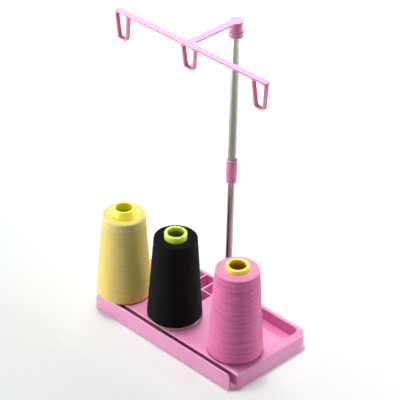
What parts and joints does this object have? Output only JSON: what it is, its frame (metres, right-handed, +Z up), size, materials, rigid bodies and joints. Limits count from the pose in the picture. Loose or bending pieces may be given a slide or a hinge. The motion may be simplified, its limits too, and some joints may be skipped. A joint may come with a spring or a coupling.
{
  "type": "thread spool stand",
  "caption": "Moulded thread stand with bobbin cells, a tool pocket, a front slot, spool pins, a telescopic mast and a swivelling looped guide arm, carrying cones of thread.",
  "frame": {"origin": "on the table, under the middle of the whole object's bounding box", "axes": "+X along the base to the right, +Y from the front slot to the mast at the back, +Z up the mast"},
  "size_m": [0.2326, 0.1258, 0.3734],
  "materials": {
    "pink_plastic": "satin moulded",
    "polished_steel": "polished tube",
    "zinc_steel": "zinc plated",
    "nylon": "natural nylon",
    "rubber": "matte",
    "yellow_thread": "wound polyester thread",
    "black_thread": "wound polyester thread",
    "pink_thread": "wound polyester thread",
    "yellow_core": "thin moulded",
    "lime_core": "thin moulded",
    "amber_core": "thin moulded"
  },
  "bodies": {
    "base": {"base_tray": "pink_plastic", "rubber_foot_front_left": "rubber", "rubber_foot_front_right": "rubber", "rubber_foot_rear_left": "rubber", "rubber_foot_rear_right": "rubber", "spool_pin_left": "pink_plastic", "spool_pin_middle": "pink_plastic", "spool_pin_right": "pink_plastic", "pin_screw_left": "zinc_steel", "pin_screw_middle": "zinc_steel", "pin_screw_right": "zinc_steel", "lower_rod": "polished_steel", "rod_foot_insert": "zinc_steel", "mast_washer": "zinc_steel", "mast_screw": "zinc_steel", "rod_guide_bush": "nylon"},
    "mast_upper": {"upper_tube": "polished_steel", "height_collar": "pink_plastic", "collar_grip_bush": "nylon", "mast_head_plug": "pink_plastic"},
    "guide_arm": {"guide_arm": "pink_plastic"},
    "yellow_cone": {"yellow_cone_core": "yellow_core", "yellow_thread_package": "yellow_thread"},
    "black_cone": {"black_cone_core": "lime_core", "black_thread_package": "black_thread"},
    "pink_cone": {"pink_cone_core": "amber_core", "pink_thread_package": "pink_thread"}
  },
  "joints": [
    {"name": "mast_height", "type": "slide", "parent": "base", "child": "mast_upper", "axis": [0, 0, 1], "range_m": [-0.11, 0]},
    {"name": "arm_swivel", "type": "hinge", "parent": "mast_upper", "child": "guide_arm", "pos_m": [0.0033, 0.0484, 0.3611], "axis": [0, 0, 1], "continuous": true},
    {"name": "yellow_cone_lift", "type": "slide", "parent": "base", "child": "yellow_cone", "axis": [0, 0, 1], "range_m": [0, 0.08]},
    {"name": "black_cone_lift", "type": "slide", "parent": "base", "child": "black_cone", "axis": [0, 0, 1], "range_m": [0, 0.08]},
    {"name": "pink_cone_lift", "type": "slide", "parent": "base", "child": "pink_cone", "axis": [0, 0, 1], "range_m": [0, 0.08]}
  ]
}
